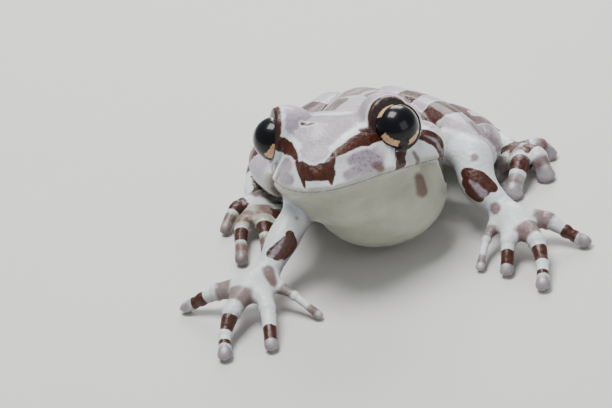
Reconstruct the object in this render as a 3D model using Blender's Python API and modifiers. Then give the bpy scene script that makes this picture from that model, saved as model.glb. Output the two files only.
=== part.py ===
"""Amazon milk frog, a life-size still model that sits with its head raised and its hands spread.

The frog faces -Y and +Z is up. Lengths below are millimetres unless a name says otherwise.
Every sub-part is a blend of simple masses, which a voxel remesh fuses and a decimate thins.
Each one is then cut back from its neighbours, so that the parts meet across a thin gap.
"""

import math

import bpy
import bmesh
from mathutils import Matrix, Vector

MM = 0.001

# Driving sizes
EYE_RADIUS = 2.45
EYE_SPREAD = 6.9
EYE_LIFT = 0.05
GAP = 0.3
FLOOR = 0.0
FAR = 80.0
CENTRE_SHIFT = Vector((0.82, -3.81, 0.0))

# The head's own axes: it is turned to the frog's right, raised and a little rolled
HEAD_YAW = 22.0
HEAD_PITCH = 17.0
HEAD_ROLL = 6.2
EYE_LINE = Vector((-3.5, -2.0, 15.1))

LEFT, RIGHT = 1, -1
Z_UP = Vector((0.0, 0.0, 1.0))

# Size of the remesh voxels, and about how many triangles each part is thinned to
EYE_VOXEL, HEAD_VOXEL, TRUNK_VOXEL, LIMB_VOXEL, CUTTER_VOXEL = 0.25, 0.35, 0.5, 0.28, 0.4
CUTTER_THINNING = 0.6
SMOOTHING_PASSES = 4
EYE_TRIANGLES, HEAD_TRIANGLES, TRUNK_TRIANGLES = 240, 1500, 900
ARM_TRIANGLES = {"upper_arm": 240, "forearm": 240, "hand": 680}
LEG_TRIANGLES = {"thigh": 320, "shank": 280, "tarsus": 180, "foot": 700}

SKIN_PALE = (0.62, 0.58, 0.62)
SKIN_CREAM = (0.72, 0.72, 0.62)
EYE_BLACK = (0.01, 0.01, 0.012)


def head_axes():
    """Forward, left and up of the head, as unit vectors."""
    yaw, pitch, roll = (math.radians(a) for a in (HEAD_YAW, HEAD_PITCH, HEAD_ROLL))
    level = math.cos(pitch)
    forward = Vector((-math.sin(yaw) * level, -math.cos(yaw) * level, math.sin(pitch)))
    left = Vector((math.cos(yaw), -math.sin(yaw), 0.0))
    up = forward.cross(left)
    turn = Matrix.Rotation(roll, 3, forward)
    return forward, turn @ left, turn @ up


FORWARD, SIDE, UP = HEAD_AXES = head_axes()


def on_head(forward, side, up):
    """A point given in the head's own axes, from the middle of the eye line."""
    return EYE_LINE + FORWARD * forward + SIDE * side + UP * up


def eye_centre(side):
    """The middle of one eyeball."""
    return on_head(0.0, side * EYE_SPREAD, EYE_LIFT)


def blend_profile(keys, at):
    """Smooth value at one station of a profile, whose keys are (station, value) in rising order."""
    if at <= keys[0][0]:
        return keys[0][1]
    for (a, low), (b, high) in zip(keys, keys[1:]):
        if at <= b:
            share = (at - a) / (b - a)
            return low + (high - low) * share * share * (3 - 2 * share) * 0.5 + (high - low) * share * 0.5
    return keys[-1][1]


def smooth_loop(points, steps):
    """A closed curve through the points, with steps samples on each span."""
    loop = []
    count = len(points)
    for i in range(count):
        before, start, end, after = (points[(i + k) % count] for k in (-1, 0, 1, 2))
        for step in range(steps):
            t = step / steps
            loop.append(
                0.5
                * (
                    2 * start
                    + (end - before) * t
                    + (2 * before - 5 * start + 4 * end - after) * t * t
                    + (3 * start - before - 3 * end + after) * t * t * t
                )
            )
    return loop


def loft(rings):
    """A closed skin over rings of equal length, with its two ends filled."""
    shape = bmesh.new()
    loops = [[shape.verts.new(point) for point in ring] for ring in rings]
    for near, far in zip(loops, loops[1:]):
        for i in range(len(near)):
            j = (i + 1) % len(near)
            shape.faces.new((near[i], near[j], far[j], far[i]))
    shape.faces.new(loops[0][::-1])
    shape.faces.new(loops[-1])
    bmesh.ops.recalc_face_normals(shape, faces=shape.faces)
    return shape


def ball(centre, radii, axes=None):
    """An ellipsoid. axes are the three directions that the radii follow."""
    if isinstance(radii, (int, float)):
        radii = (radii, radii, radii)
    turn = Matrix.Identity(3) if axes is None else Matrix(axes).transposed()
    place = Matrix.Translation(centre) @ turn.to_4x4() @ Matrix.Diagonal((*radii, 1.0))
    shape = bmesh.new()
    bmesh.ops.create_uvsphere(shape, u_segments=24, v_segments=14, radius=1.0, matrix=place)
    bmesh.ops.recalc_face_normals(shape, faces=shape.faces)
    return shape


def limb(stations):
    """A tapering tube through stations of (x, y, z, radius), with round ends."""
    curve = bpy.data.curves.new("limb", "CURVE")
    curve.dimensions = "3D"
    curve.bevel_depth = 1.0
    curve.bevel_resolution = 4
    curve.resolution_u = 8
    curve.use_fill_caps = True
    spline = curve.splines.new("BEZIER")
    spline.bezier_points.add(len(stations) - 1)
    for point, (x, y, z, radius) in zip(spline.bezier_points, stations):
        point.co = (x, y, z)
        point.radius = radius
        point.handle_left_type = point.handle_right_type = "AUTO"
    tube = bpy.data.objects.new("limb", curve)
    bpy.context.scene.collection.objects.link(tube)
    mesh = bpy.data.meshes.new_from_object(tube.evaluated_get(bpy.context.evaluated_depsgraph_get()))
    shape = bmesh.new()
    shape.from_mesh(mesh)
    bpy.data.meshes.remove(mesh)
    bpy.data.objects.remove(tube)
    bpy.data.curves.remove(curve)
    bmesh.ops.remove_doubles(shape, verts=shape.verts, dist=0.001)
    bmesh.ops.recalc_face_normals(shape, faces=shape.faces)
    ends = [ball(Vector(s[:3]), s[3]) for s in (stations[0], stations[-1])]
    return [shape, *ends]


# The head: stations run from the nape to the snout tip, in the head's own axes
HEAD_STATIONS = (-8.6, -7.0, -5.5, -3.5, -1.5, 0.5, 2.5, 4.2, 5.6, 6.7, 7.5, 8.0, 8.3)
LIP_HALF_WIDTH = (
    *((-9.0, 7.6), (-5.5, 8.4), (-2.0, 8.2), (2.0, 7.1)),
    *((5.0, 5.5), (7.0, 3.7), (8.0, 1.9), (8.3, 0.6)),
)
RIDGE_HALF_WIDTH = ((-9.0, 5.2), (-4.0, 5.4), (0.0, 4.6), (3.0, 3.5), (6.0, 2.5), (7.5, 1.6), (8.3, 0.3))
CROWN = ((-9.0, 0.7), (-4.0, 1.65), (0.0, 1.4), (3.0, 0.6), (6.0, -0.5), (7.5, -1.4), (8.3, -2.6))
THROAT = ((-9.0, -8.6), (-5.5, -8.6), (-2.0, -8.3), (2.0, -7.6), (5.0, -6.7), (7.0, -5.7), (8.3, -4.7))
MOUTH = ((-9.0, -5.3), (-5.6, -4.9), (0.0, -4.35), (3.5, -4.0), (5.5, -4.05), (7.2, -4.25), (8.3, -4.4))
NECK_STATION = -6.6
# The flat cut between the jaws, which follows the mouth line: its height below the eyes and its rise forwards
JAW_CUT_HEIGHT = -4.35
JAW_CUT_RISE = 0.05


def head_ring(forward):
    """One cross-section of the head: crown, canthal ridge, cheek, lip and throat."""
    lip, ridge = blend_profile(LIP_HALF_WIDTH, forward), blend_profile(RIDGE_HALF_WIDTH, forward)
    crown, throat = blend_profile(CROWN, forward), blend_profile(THROAT, forward)
    mouth = blend_profile(MOUTH, forward)
    half = [
        (ridge, crown - 0.12),
        (0.36 * ridge + 0.64 * lip, 0.45 * crown + 0.55 * mouth),
        (lip, mouth + 0.35),
        (0.93 * lip, mouth - 0.45 * (mouth - throat)),
        (0.55 * lip, throat + 0.12 * (mouth - throat)),
    ]
    outline = [(0.0, crown), *half, (0.0, throat), *[(-side, up) for side, up in reversed(half)]]
    return smooth_loop([on_head(forward, side, up) for side, up in outline], 4)


# Masses round each eye: centre from the eye's own in (forward, outwards, up), and radius or radii on those axes
CHEEK = ((-6.0, 0.3, -3.5), (3.6, 2.9, 2.9))
BROW = {
    LEFT: (((-2.05, -1.9, 0.6), 3.05), ((-0.85, -1.15, 0.85), 2.65), ((-1.3, -0.75, -0.2), 2.75), CHEEK),
    RIGHT: (((-1.5, -1.3, 0.35), 2.9), ((-0.55, -1.2, 0.75), 2.8), ((-0.6, -1.3, 0.05), 2.85), CHEEK),
}
# The throat's pouch and the neck, in the head's own axes: forward, side, up and the three radii
GULLET = ((-0.4, 1.0, -7.0), (5.6, 5.9, 3.5))
NECK = ((-8.0, 0.0, -3.1), (5.4, 8.2, 4.3))


def brow(side):
    """The raised socket rim that carries one eye, and the swelling behind it."""
    made = []
    for (forward, outwards, up), radii in BROW[side]:
        centre = on_head(forward, side * (EYE_SPREAD + outwards), up)
        made.append(ball(centre, radii, HEAD_AXES))
    return made


# The trunk: (x, y, z) of each centre, with half width and half height
TRUNK_STATIONS = (
    ((-1.2, 0.6, 7.6), 6.6, 5.7),
    ((-0.6, 3.6, 7.0), 7.9, 6.3),
    ((0.0, 7.5, 6.3), 8.0, 6.2),
    ((0.3, 12.0, 5.4), 7.4, 5.6),
    ((0.4, 16.5, 4.7), 6.4, 4.8),
    ((0.4, 20.5, 4.1), 5.1, 3.9),
    ((0.3, 24.0, 3.5), 3.8, 2.9),
    ((0.2, 26.4, 3.0), 2.4, 2.0),
    ((0.2, 27.6, 2.8), 1.1, 1.0),
)
CHEST = ((0.3, -1.5, 6.8), (7.5, 6.8, 5.9))


def trunk_rings():
    """Flattened oval sections that follow the spine from the neck to the vent."""
    rings = []
    centres = [Vector(centre) for centre, _, _ in TRUNK_STATIONS]
    for i, (_, wide, high) in enumerate(TRUNK_STATIONS):
        along = (centres[min(i + 1, len(centres) - 1)] - centres[max(i - 1, 0)]).normalized()
        across = along.cross(Z_UP).normalized()
        above = across.cross(along)
        ring = []
        for step in range(32):
            turn = 2 * math.pi * step / 32
            ring.append(centres[i] + across * math.cos(turn) * wide + above * math.sin(turn) * high)
        rings.append(ring)
    return rings


# Limbs: stations of (x, y, z, radius), on the frog's left and right
UPPER_ARM = {
    LEFT: ((5.6, 5.8, 7.4, 2.3), (8.6, 4.4, 7.7, 2.1), (11.1, 1.2, 7.4, 2.25)),
    RIGHT: ((-6.2, 4.4, 7.6, 2.3), (-8.2, 0.6, 7.4, 2.0), (-8.9, -3.2, 6.8, 1.7)),
}
FOREARM = {
    LEFT: ((11.1, 1.2, 7.4, 2.25), (11.0, -1.5, 5.7, 2.2), (12.9, -3.9, 3.7, 1.5)),
    RIGHT: ((-8.9, -3.2, 6.8, 1.8), (-11.0, -5.6, 5.4, 1.95), (-13.1, -8.3, 3.6, 1.45)),
}
PALM = {
    LEFT: ((13.0, -4.2, 3.5, 1.5), (14.2, -6.2, 3.1, 1.8)),
    RIGHT: ((-13.2, -8.6, 3.4, 1.5), (-15.2, -10.4, 3.1, 1.8)),
}
# Each finger runs from the palm to the pad at its tip, the inner finger first
FINGERS = {
    LEFT: (
        ((12.4, -4.9, 2.9, 0.9), (10.6, -7.4, 2.0, 0.62), (9.3, -10.4, 0.55, 0.6)),
        ((13.4, -6.4, 3.1, 1.15), (12.7, -9.4, 2.5, 0.9), (11.9, -12.2, 0.75, 0.8)),
        ((14.3, -6.8, 3.2, 1.25), (15.6, -10.8, 2.7, 1.05), (15.6, -13.4, 1.7, 0.8), (15.1, -16.2, 0.75, 0.8)),
        ((15.0, -5.9, 3.0, 1.2), (17.6, -6.8, 2.6, 1.05), (19.2, -8.0, 1.6, 0.8), (20.9, -9.2, 0.75, 0.8)),
    ),
    RIGHT: (
        ((-12.9, -9.9, 2.9, 0.9), (-10.8, -12.0, 2.1, 0.62), (-8.6, -14.2, 0.55, 0.6)),
        ((-14.2, -10.6, 3.1, 1.15), (-13.8, -14.2, 2.5, 0.95), (-14.0, -18.6, 0.75, 0.8)),
        (
            *((-15.9, -11.0, 3.2, 1.25), (-17.6, -14.0, 2.6, 1.05)),
            *((-18.6, -16.2, 1.5, 0.8), (-18.9, -18.8, 0.75, 0.8)),
        ),
        ((-16.2, -10.0, 3.0, 1.2), (-18.9, -9.2, 2.5, 1.05), (-20.7, -8.7, 1.6, 0.8), (-22.5, -8.2, 0.75, 0.8)),
    ),
}
FINGER_PAD = (0.85, 1.05, 1.1, 1.1)

THIGH = {
    LEFT: ((3.9, 21.4, 4.4, 2.8), (7.6, 15.6, 5.0, 3.0), (10.2, 10.2, 5.5, 2.6), (11.9, 5.9, 5.2, 2.0)),
    RIGHT: ((-3.0, 22.6, 4.3, 2.8), (-6.8, 17.0, 5.1, 3.0), (-9.0, 12.0, 5.7, 2.5), (-10.1, 7.6, 5.6, 2.0)),
}
SHANK = {
    LEFT: ((12.2, 6.0, 4.7, 1.9), (13.2, 10.2, 4.1, 2.15), (12.0, 16.4, 3.4, 1.75), (9.4, 21.6, 2.9, 1.4)),
    RIGHT: ((-10.4, 7.5, 5.0, 1.9), (-11.6, 12.4, 4.8, 2.1), (-10.6, 18.2, 3.8, 1.75), (-7.8, 23.2, 2.9, 1.4)),
}
TARSUS = {
    LEFT: ((9.8, 22.0, 1.4, 1.35), (13.6, 18.8, 1.05, 1.12), (16.2, 13.2, 1.15, 1.22)),
    RIGHT: ((-8.2, 23.6, 1.4, 1.35), (-12.2, 20.4, 1.05, 1.1), (-13.6, 14.0, 1.1, 1.15)),
}
SOLE = {
    LEFT: ((16.3, 12.8, 1.15, 1.2), (17.3, 9.2, 1.45, 1.45)),
    RIGHT: ((-13.6, 13.6, 1.1, 1.1), (-12.8, 8.8, 1.35, 1.35)),
}
TOES = {
    LEFT: (
        ((16.8, 12.2, 1.3, 0.9), (15.2, 10.2, 1.2, 0.62), (14.0, 8.0, 0.55, 0.6)),
        ((16.9, 10.6, 1.5, 1.0), (15.0, 8.8, 1.6, 0.75), (13.8, 8.8, 0.65, 0.7)),
        ((17.1, 9.8, 1.7, 1.15), (16.6, 6.5, 2.3, 0.95), (15.2, 3.6, 0.75, 0.8)),
        ((17.6, 10.0, 1.8, 1.15), (18.9, 7.9, 2.2, 0.95), (19.4, 6.3, 0.75, 0.8)),
        ((17.8, 11.2, 1.5, 1.05), (19.6, 11.2, 1.7, 0.8), (20.6, 11.0, 0.7, 0.75)),
    ),
    RIGHT: (
        ((-12.6, 11.0, 1.2, 0.9), (-11.0, 8.8, 1.1, 0.62), (-10.2, 6.2, 0.55, 0.6)),
        ((-12.4, 9.4, 1.4, 1.0), (-11.2, 6.0, 1.3, 0.75), (-10.8, 2.6, 0.65, 0.7)),
        ((-12.7, 8.6, 1.6, 1.1), (-12.9, 4.6, 2.0, 0.95), (-13.0, 0.0, 0.75, 0.8)),
        ((-13.0, 8.6, 1.6, 1.1), (-15.2, 5.0, 2.1, 0.95), (-16.0, -0.6, 0.75, 0.8)),
        ((-13.5, 10.2, 1.5, 1.05), (-15.8, 9.0, 1.8, 0.85), (-17.4, 6.6, 0.75, 0.8)),
    ),
}
TOE_PAD = (0.75, 0.9, 1.05, 1.05, 0.95)
PAD_SQUASH = 0.72
# Added to every radius of a digit
DIGIT_SWELL = 0.12
PAD_HEIGHT = 0.5


def digit(stations, pad):
    """One finger or toe, with the wide flat pad at its tip."""
    x, y, _, _ = stations[-1]
    x0, y0, _, _ = stations[-2]
    pad += DIGIT_SWELL
    along = Vector((x - x0, y - y0, 0.0)).normalized()
    across = Z_UP.cross(along)
    return [
        *limb([(*place, radius + DIGIT_SWELL) for *place, radius in stations]),
        ball(Vector((x, y, pad * PAD_HEIGHT)), (pad * 0.95, pad, pad * PAD_SQUASH), (along, across, Z_UP)),
    ]


def masses_of_extremity(base, digits, pads):
    """A palm or sole with its digits."""
    masses = limb(base)
    for stations, pad in zip(digits, pads):
        masses += digit(stations, pad)
    return masses


def finish_of(name, colour, roughness):
    """A plain material with the part's own colour."""
    material = bpy.data.materials.new(name)
    material.use_nodes = True
    shader = material.node_tree.nodes["Principled BSDF"]
    shader.inputs["Base Color"].default_value = (*colour, 1.0)
    shader.inputs["Roughness"].default_value = roughness
    shader.inputs["Metallic"].default_value = 0.0
    return material


def as_object(name, mesh, material, collection):
    """A mesh in millimetres becomes an object in metres, centred on the origin's plumb line."""
    mesh.transform(Matrix.Scale(MM, 4) @ Matrix.Translation(CENTRE_SHIFT))
    made = bpy.data.objects.new(name, mesh)
    mesh.materials.clear()
    mesh.materials.append(material)
    collection.objects.link(made)
    return made


def evaluated_mesh(obj):
    graph = bpy.context.evaluated_depsgraph_get()
    return bpy.data.meshes.new_from_object(obj.evaluated_get(graph))


def triangle_count(mesh):
    mesh.calc_loop_triangles()
    return len(mesh.loop_triangles)


def thinned(mesh, voxel, soften, triangles):
    """The mesh fused by a voxel remesh, smoothed that many times and thinned to about that many triangles."""
    worker = bpy.data.objects.new("worker", mesh)
    bpy.context.scene.collection.objects.link(worker)
    remesh = worker.modifiers.new("fuse", "REMESH")
    remesh.mode = "VOXEL"
    remesh.voxel_size = voxel
    if soften:
        smooth = worker.modifiers.new("soften", "SMOOTH")
        smooth.factor = 0.5
        smooth.iterations = soften
    dense = evaluated_mesh(worker)
    worker.modifiers.clear()
    worker.data = dense
    thin = worker.modifiers.new("thin", "DECIMATE")
    thin.ratio = min(1.0, triangles / triangle_count(dense))
    result = evaluated_mesh(worker)
    bpy.data.objects.remove(worker)
    bpy.data.meshes.remove(dense)
    bpy.data.meshes.remove(mesh)
    return result


def fused(name, masses, voxel, triangles):
    """One closed mesh of about that many triangles from overlapping masses."""
    joined = bmesh.new()
    for mass in masses:
        part = bpy.data.meshes.new(name)
        mass.to_mesh(part)
        mass.free()
        joined.from_mesh(part)
        bpy.data.meshes.remove(part)
    mesh = bpy.data.meshes.new(name)
    joined.to_mesh(mesh)
    joined.free()
    return thinned(mesh, voxel, SMOOTHING_PASSES, triangles)


def grown(mesh, by):
    """A copy of the mesh with its surface moved out, remeshed so that it never crosses itself."""
    copy = mesh.copy()
    normals = [vertex.normal.copy() for vertex in mesh.vertices]
    for vertex, normal in zip(copy.vertices, normals):
        vertex.co += normal * by
    return thinned(copy, CUTTER_VOXEL, 0, CUTTER_THINNING * triangle_count(mesh))


def box_mesh(low, high, axes=None, origin=None):
    """A box between two corners, in the world's axes or in those given."""
    shape = bmesh.new()
    bmesh.ops.create_cube(shape, size=1.0)
    size = [b - a for a, b in zip(low, high)]
    middle = [(a + b) / 2 for a, b in zip(low, high)]
    for vertex in shape.verts:
        local = [middle[k] + vertex.co[k] * size[k] for k in range(3)]
        if axes is None:
            vertex.co = Vector(local)
        else:
            vertex.co = origin + axes[0] * local[0] + axes[1] * local[1] + axes[2] * local[2]
    shape.normal_update()
    bmesh.ops.recalc_face_normals(shape, faces=shape.faces)
    mesh = bpy.data.meshes.new("box")
    shape.to_mesh(mesh)
    shape.free()
    return mesh


def cut(mesh, cutters):
    """The mesh with each cutter taken away."""
    worker = bpy.data.objects.new("cut", mesh)
    bpy.context.scene.collection.objects.link(worker)
    helpers = []
    for cutter in cutters:
        helper = bpy.data.objects.new("cutter", cutter)
        bpy.context.scene.collection.objects.link(helper)
        helper.hide_render = True
        helper.display_type = "WIRE"
        helpers.append(helper)
        boolean = worker.modifiers.new("cut", "BOOLEAN")
        boolean.operation = "DIFFERENCE"
        boolean.solver = "EXACT"
        boolean.object = helper
    result = evaluated_mesh(worker)
    bpy.data.objects.remove(worker)
    for helper in helpers:
        bpy.data.objects.remove(helper)
    return largest_body(result)


def largest_body(mesh):
    """Drops the loose crumbs that a cut can leave."""
    shape = bmesh.new()
    shape.from_mesh(mesh)
    bmesh.ops.remove_doubles(shape, verts=shape.verts, dist=0.002)
    bmesh.ops.dissolve_degenerate(shape, edges=shape.edges, dist=0.001)
    left = set(shape.verts)
    bodies = []
    while left:
        seed = left.pop()
        body, front = {seed}, [seed]
        while front:
            vertex = front.pop()
            for edge in vertex.link_edges:
                other = edge.other_vert(vertex)
                if other not in body:
                    body.add(other)
                    front.append(other)
        left -= body
        bodies.append(body)
    bodies.sort(key=len)
    for body in bodies[:-1]:
        bmesh.ops.delete(shape, geom=list(body), context="VERTS")
    shape.to_mesh(mesh)
    shape.free()
    return mesh


def floor_cutter():
    """Everything below the floor, so that what rests on it is flat there."""
    return box_mesh((-FAR, -FAR, -FAR), (FAR, FAR, FLOOR))


def head_parts():
    """The eyes, the head above the mouth and the lower jaw."""
    eyes = {}
    sockets = []
    for side in (LEFT, RIGHT):
        eyeball = fused("eye", [ball(eye_centre(side), EYE_RADIUS)], EYE_VOXEL, EYE_TRIANGLES)
        eyes[side] = eyeball
        sockets.append(grown(eyeball, GAP))
    masses = [loft([head_ring(station) for station in HEAD_STATIONS])]
    masses.append(ball(on_head(*GULLET[0]), GULLET[1], HEAD_AXES))
    for side in (LEFT, RIGHT):
        masses += brow(side)
    whole = fused("head", masses, HEAD_VOXEL, HEAD_TRIANGLES)
    behind = box_mesh((-FAR, -FAR, -FAR), (NECK_STATION, FAR, FAR), HEAD_AXES, EYE_LINE)
    whole = cut(whole, [behind, *sockets])
    tilt = Matrix.Rotation(-math.atan(JAW_CUT_RISE), 3, SIDE)
    jaw_axes = (tilt @ FORWARD, SIDE, tilt @ UP)
    middle = on_head(0.0, 0.0, JAW_CUT_HEIGHT)
    upper = cut(whole.copy(), [box_mesh((-FAR, -FAR, -FAR), (FAR, FAR, GAP / 2), jaw_axes, middle)])
    lower = cut(whole, [box_mesh((-FAR, -FAR, -GAP / 2), (FAR, FAR, FAR), jaw_axes, middle)])
    return eyes, upper, lower


def build():
    """Models every sub-part and puts it in the frog's collection."""
    for old in list(bpy.data.objects):
        bpy.data.objects.remove(old)
    frog = bpy.data.collections.new("amazon_milk_frog")
    bpy.context.scene.collection.children.link(frog)
    skin = finish_of("frog_skin", SKIN_PALE, 0.45)
    cream = finish_of("throat_skin", SKIN_CREAM, 0.5)
    black = finish_of("eye", EYE_BLACK, 0.05)
    floor = floor_cutter()

    eyes, upper, lower = head_parts()
    made = {"head": (upper, skin), "lower_jaw": (lower, cream)}
    for side, name in ((LEFT, "left"), (RIGHT, "right")):
        made[f"eye_{name}"] = (eyes[side], black)

    head_cutters = [grown(upper, GAP), grown(lower, GAP)]
    chest = ball(Vector(CHEST[0]), CHEST[1])
    neck = ball(on_head(*NECK[0]), NECK[1], HEAD_AXES)
    whole = fused("trunk", [loft(trunk_rings()), chest, neck], TRUNK_VOXEL, TRUNK_TRIANGLES)
    trunk = cut(whole, [*head_cutters, floor])
    made["trunk"] = (trunk, skin)
    trunk_cutter = grown(trunk, GAP)

    for side, name in ((LEFT, "left"), (RIGHT, "right")):
        limbs = {
            "upper_arm": limb(UPPER_ARM[side]),
            "forearm": limb(FOREARM[side]),
            "hand": masses_of_extremity(PALM[side], FINGERS[side], FINGER_PAD),
            "thigh": limb(THIGH[side]),
            "shank": limb(SHANK[side]),
            "tarsus": limb(TARSUS[side]),
            "foot": masses_of_extremity(SOLE[side], TOES[side], TOE_PAD),
        }
        earlier = [trunk_cutter, *head_cutters]
        for part, triangles in (*ARM_TRIANGLES.items(), *LEG_TRIANGLES.items()):
            whole = fused(part, limbs[part], LIMB_VOXEL, triangles)
            solid = cut(whole, [*[cutter.copy() for cutter in earlier], floor])
            made[f"{part}_{name}"] = (solid, skin)
            earlier.append(grown(solid, GAP))

    for name, (mesh, material) in made.items():
        as_object(name, mesh, material, frog)


build()
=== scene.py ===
"""Looks of a young amazon milk frog: one moist skin over the body, two wet eyes, a pale floor and soft light.

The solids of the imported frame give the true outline. Here the same masses are blended again at a finer
pitch, sculpted and marked. Lengths are millimetres in the frog's own layout until a piece is finished, and
finished_place then moves them to the frame's metres. The frog faces -Y, and +X is its left.
"""

import math

import bmesh
import bpy
import numpy as np
from bpy.props import FloatProperty, FloatVectorProperty, IntProperty, PointerProperty
from mathutils import Matrix, Vector


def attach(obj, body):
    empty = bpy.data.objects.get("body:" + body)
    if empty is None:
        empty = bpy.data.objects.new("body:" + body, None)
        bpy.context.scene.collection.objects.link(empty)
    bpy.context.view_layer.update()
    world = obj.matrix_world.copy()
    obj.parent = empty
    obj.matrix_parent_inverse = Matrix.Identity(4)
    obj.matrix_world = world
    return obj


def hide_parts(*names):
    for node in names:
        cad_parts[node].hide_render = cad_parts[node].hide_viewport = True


bl_info = {
    "name": "Milk Frog Looks",
    "version": (1, 0, 0),
    "blender": (4, 5, 0),
    "location": "3D View > Sidebar > Milk Frog",
    "description": "Skin, eyes and studio of a life-size young milk frog",
    "category": "Add Mesh",
}

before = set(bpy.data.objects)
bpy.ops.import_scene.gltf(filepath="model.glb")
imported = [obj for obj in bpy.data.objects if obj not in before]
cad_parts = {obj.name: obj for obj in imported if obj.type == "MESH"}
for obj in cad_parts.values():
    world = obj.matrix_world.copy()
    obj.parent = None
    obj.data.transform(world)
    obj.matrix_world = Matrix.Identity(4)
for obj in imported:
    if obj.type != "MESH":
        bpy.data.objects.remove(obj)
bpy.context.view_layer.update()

MM = 0.001
CENTRE_SHIFT = Vector((0.82, -3.81, 0.0))
LEFT, RIGHT = 1, -1
SIDES = {LEFT: "left", RIGHT: "right"}
Z_UP = Vector((0.0, 0.0, 1.0))

# The head's own axes: it is turned to the frog's right, raised and a little rolled
HEAD_YAW = 22.0
HEAD_PITCH = 17.0
HEAD_ROLL = 6.2
EYE_LINE = Vector((-3.5, -2.0, 15.1))
EYE_SPREAD = 6.9
EYE_LIFT = 0.05
EYE_RADIUS = 2.45

# The optic axis, as its angles outwards and upwards from straight ahead, in degrees
GAZE_OUT, GAZE_UP = 39.0, 26.0

# A depth or a distance that is well past every marking, for points that have none
FAR = 9.0


def head_axes():
    """Forward, left and up of the head, as unit vectors."""
    yaw, pitch, roll = (math.radians(a) for a in (HEAD_YAW, HEAD_PITCH, HEAD_ROLL))
    level = math.cos(pitch)
    forward = Vector((-math.sin(yaw) * level, -math.cos(yaw) * level, math.sin(pitch)))
    left = Vector((math.cos(yaw), -math.sin(yaw), 0.0))
    up = forward.cross(left)
    turn = Matrix.Rotation(roll, 3, forward)
    return forward, turn @ left, turn @ up


FORWARD, SIDE, UP = head_axes()


def on_head(forward, side, up):
    """A point given in the head's own axes, from the middle of the eye line."""
    return EYE_LINE + FORWARD * forward + SIDE * side + UP * up


def head_direction(side, outwards, upwards):
    """A direction of one side of the head, from its angles."""
    out, up = math.radians(outwards), math.radians(upwards)
    level = math.cos(up)
    return FORWARD * math.cos(out) * level + SIDE * side * math.sin(out) * level + UP * math.sin(up)


def eye_centre(side):
    return on_head(0.0, side * EYE_SPREAD, EYE_LIFT)


class FrogSkinSettings(bpy.types.PropertyGroup):
    """How fine the skin is, and its colours."""

    pitch: FloatProperty(
        name="Pitch", description="Spacing of the skin's mesh, in millimetres", default=0.2, min=0.12, max=0.6
    )
    smoothing: IntProperty(
        name="Smoothing",
        description="Smoothing passes over the blend",
        default=8,
        min=0,
        max=40,
    )
    brown: FloatVectorProperty(
        name="Brown", description="Large markings", subtype="COLOR", default=(0.048, 0.0125, 0.006)
    )
    lilac: FloatVectorProperty(
        name="Lilac", description="Grey-lilac ground", subtype="COLOR", default=(0.37, 0.33, 0.375)
    )
    white: FloatVectorProperty(
        name="White", description="Margins and pale bands",
        subtype="COLOR", default=(0.80, 0.86, 0.86),
    )
    # Cream is set darker than the pale skin's own colour, as painted shade on the throat under the head
    cream: FloatVectorProperty(
        name="Cream", description="Throat, lips and belly",
        subtype="COLOR", default=(0.47, 0.475, 0.375),
    )
    plum: FloatVectorProperty(
        name="Plum", description="Speckles on the cheeks",
        subtype="COLOR", default=(0.135, 0.105, 0.165),
    )
    dusk: FloatVectorProperty(
        name="Dusk", description="Faint markings", subtype="COLOR", default=(0.13, 0.052, 0.042)
    )


class FrogEyeSettings(bpy.types.PropertyGroup):
    """Colours of the eye."""

    gold: FloatVectorProperty(
        name="Gold", description="Patches of the iris", subtype="COLOR", default=(0.78, 0.47, 0.25)
    )
    black: FloatVectorProperty(
        name="Black", description="Pupil and cross", subtype="COLOR", default=(0.004, 0.004, 0.006)
    )


class FrogStageSettings(bpy.types.PropertyGroup):
    """Camera, floor and light."""

    lens: FloatProperty(
        name="Lens",
        description="Focal length, in millimetres",
        default=137.4,
        min=20.0,
    )
    elevation: FloatProperty(
        name="Elevation", description="How far the camera looks down",
        subtype="ANGLE", default=math.radians(30.0),
    )
    roll: FloatProperty(
        name="Roll", description="How far the picture leans", subtype="ANGLE", default=math.radians(10.0)
    )
    key_power: FloatProperty(
        name="Key light",
        description="Power of the main light",
        default=1.6,
        subtype="POWER",
    )
    floor: FloatVectorProperty(
        name="Floor", description="Colour of the floor", subtype="COLOR", default=(0.72, 0.71, 0.69)
    )


def deselect():
    bpy.ops.object.select_all(action="DESELECT")


def picked(*objects):
    """Selects these objects alone and makes the first one active."""
    deselect()
    for obj in objects:
        obj.select_set(True)
    bpy.context.view_layer.objects.active = objects[0]
    return objects[0]


def apply_modifier(obj, kind, **settings):
    """Adds one modifier and applies it."""
    picked(obj)
    modifier = obj.modifiers.new(kind.lower(), kind)
    for name, value in settings.items():
        setattr(modifier, name, value)
    bpy.ops.object.modifier_apply(modifier=modifier.name)


def finished_place(obj):
    """Moves a piece from the frog's millimetres to the frame's metres, with its place in its mesh."""
    obj.data.transform(Matrix.Scale(MM, 4) @ Matrix.Translation(CENTRE_SHIFT) @ obj.matrix_world)
    obj.matrix_world = Matrix.Identity(4)


def ball(centre, radii, axes=None, segments=28, rings=16):
    """An ellipsoid. axes are the three directions that the radii follow."""
    if isinstance(radii, (int, float)):
        radii = (radii, radii, radii)
    turn = Matrix.Identity(3) if axes is None else Matrix(axes).transposed()
    deselect()
    bpy.ops.mesh.primitive_uv_sphere_add(segments=segments, ring_count=rings, radius=1.0)
    made = bpy.context.object
    made.data.transform(Matrix.Translation(centre) @ turn.to_4x4() @ Matrix.Diagonal((*radii, 1.0)))
    return made


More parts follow.
